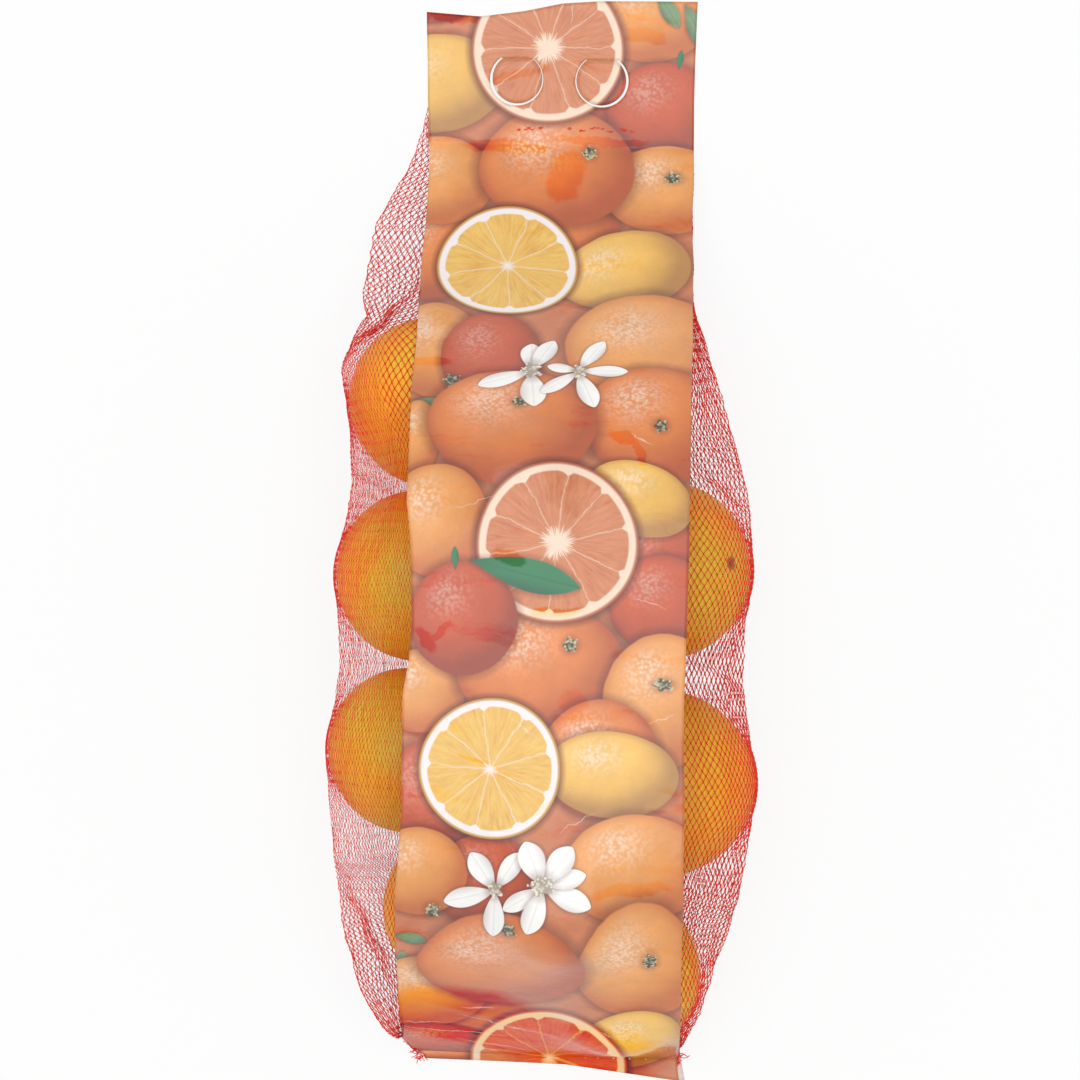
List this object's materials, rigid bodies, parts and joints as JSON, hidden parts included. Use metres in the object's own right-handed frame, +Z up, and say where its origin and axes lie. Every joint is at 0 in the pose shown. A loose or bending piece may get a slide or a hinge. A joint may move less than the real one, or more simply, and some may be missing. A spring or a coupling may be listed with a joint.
{
  "type": "mesh produce bag",
  "caption": "Knitted net produce bag filled with oranges, lying flat, with a printed film band front and back and a fold-up hang header with finger holes.",
  "frame": {"origin": "middle of the bag's outline on the surface it lies on", "axes": "+X across the printed band, +Y from the hem towards the hang header, +Z up from the surface"},
  "size_m": [0.1778, 0.4482, 0.119],
  "materials": {
    "printed_film": "glossy laminated film printed with citrus fruit",
    "back_film": "glossy thin film",
    "weld_film": "heat-welded film with the net gathered in it",
    "net": "knitted polyethylene thread, bright red",
    "orange_peel": "waxed citrus peel with oil-gland pores"
  },
  "bodies": {
    "bag": {"net": "net", "front_band": "printed_film", "back_band": "back_film", "hem_weld": "weld_film", "orange_left_1": "orange_peel", "orange_left_2": "orange_peel", "orange_left_3": "orange_peel", "orange_left_4": "orange_peel", "orange_right_1": "orange_peel", "orange_right_2": "orange_peel", "orange_right_3": "orange_peel", "orange_right_4": "orange_peel", "orange_raised_1": "orange_peel", "orange_raised_2": "orange_peel", "orange_raised_3": "orange_peel"},
    "header": {"top_weld": "weld_film", "header_back": "back_film", "header_front": "printed_film"},
    "tab_left": {"finger_tab_left": "printed_film"},
    "tab_right": {"finger_tab_right": "printed_film"}
  },
  "joints": [
    {"name": "header_fold", "type": "hinge", "parent": "bag", "child": "header", "pos_m": [0, 0.16491, 0.0027], "axis": [1, 0, 0], "range_deg": [0, 110]},
    {"name": "tab_left_fold", "type": "hinge", "parent": "header", "child": "tab_left", "pos_m": [-0.0178, 0.19987, 0.0008], "axis": [-1, 0, 0], "range_deg": [0, 150]},
    {"name": "tab_right_fold", "type": "hinge", "parent": "header", "child": "tab_right", "pos_m": [0.0178, 0.19987, 0.0008], "axis": [-1, 0, 0], "range_deg": [0, 150]}
  ]
}
